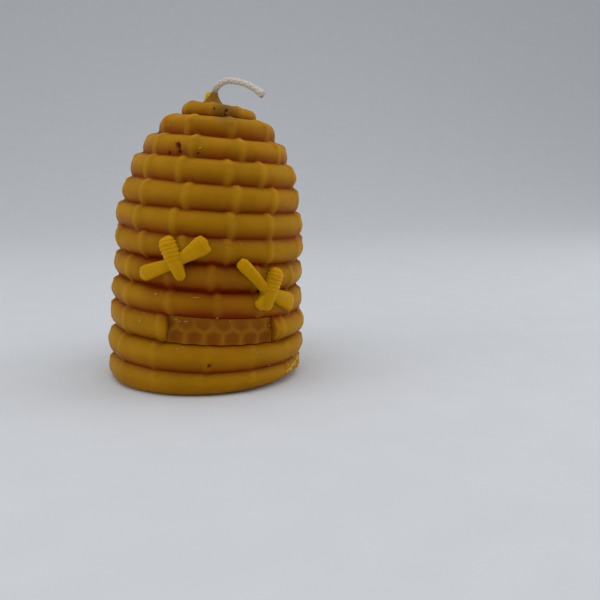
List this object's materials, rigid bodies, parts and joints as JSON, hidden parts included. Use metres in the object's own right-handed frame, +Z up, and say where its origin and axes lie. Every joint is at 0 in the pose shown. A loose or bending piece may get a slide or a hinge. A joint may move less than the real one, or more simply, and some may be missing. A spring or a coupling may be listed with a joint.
{
  "type": "skep candle",
  "caption": "Beeswax candle cast as a skep, the coiled rope beehive, with raised bees, a sunk strip of honeycomb and a braided cotton wick; stands on its flat base",
  "frame": {"origin": "centre of the flat base, on the plane that the candle stands on", "axes": "+Z up from the base towards the wick; -Y is the front, with the middle of the comb strip over it; +X to the right seen from the front"},
  "size_m": [0.0662, 0.0663, 0.0973],
  "materials": {
    "beeswax": "filtered beeswax cast in a flexible mould: deep honey yellow, satin, lets some light through",
    "dark_beeswax": "the same beeswax in a thick sunk panel, so a darker brown, satin",
    "bright_beeswax": "the same beeswax in thin raised figures, so a brighter yellow, satin",
    "cotton": "undyed braided cotton, primed with a little wax"
  },
  "bodies": {
    "root": {"wax_body": "beeswax", "comb_strip": "dark_beeswax", "bee_left": "bright_beeswax", "bee_right": "bright_beeswax", "wick": "cotton"}
  },
  "joints": []
}
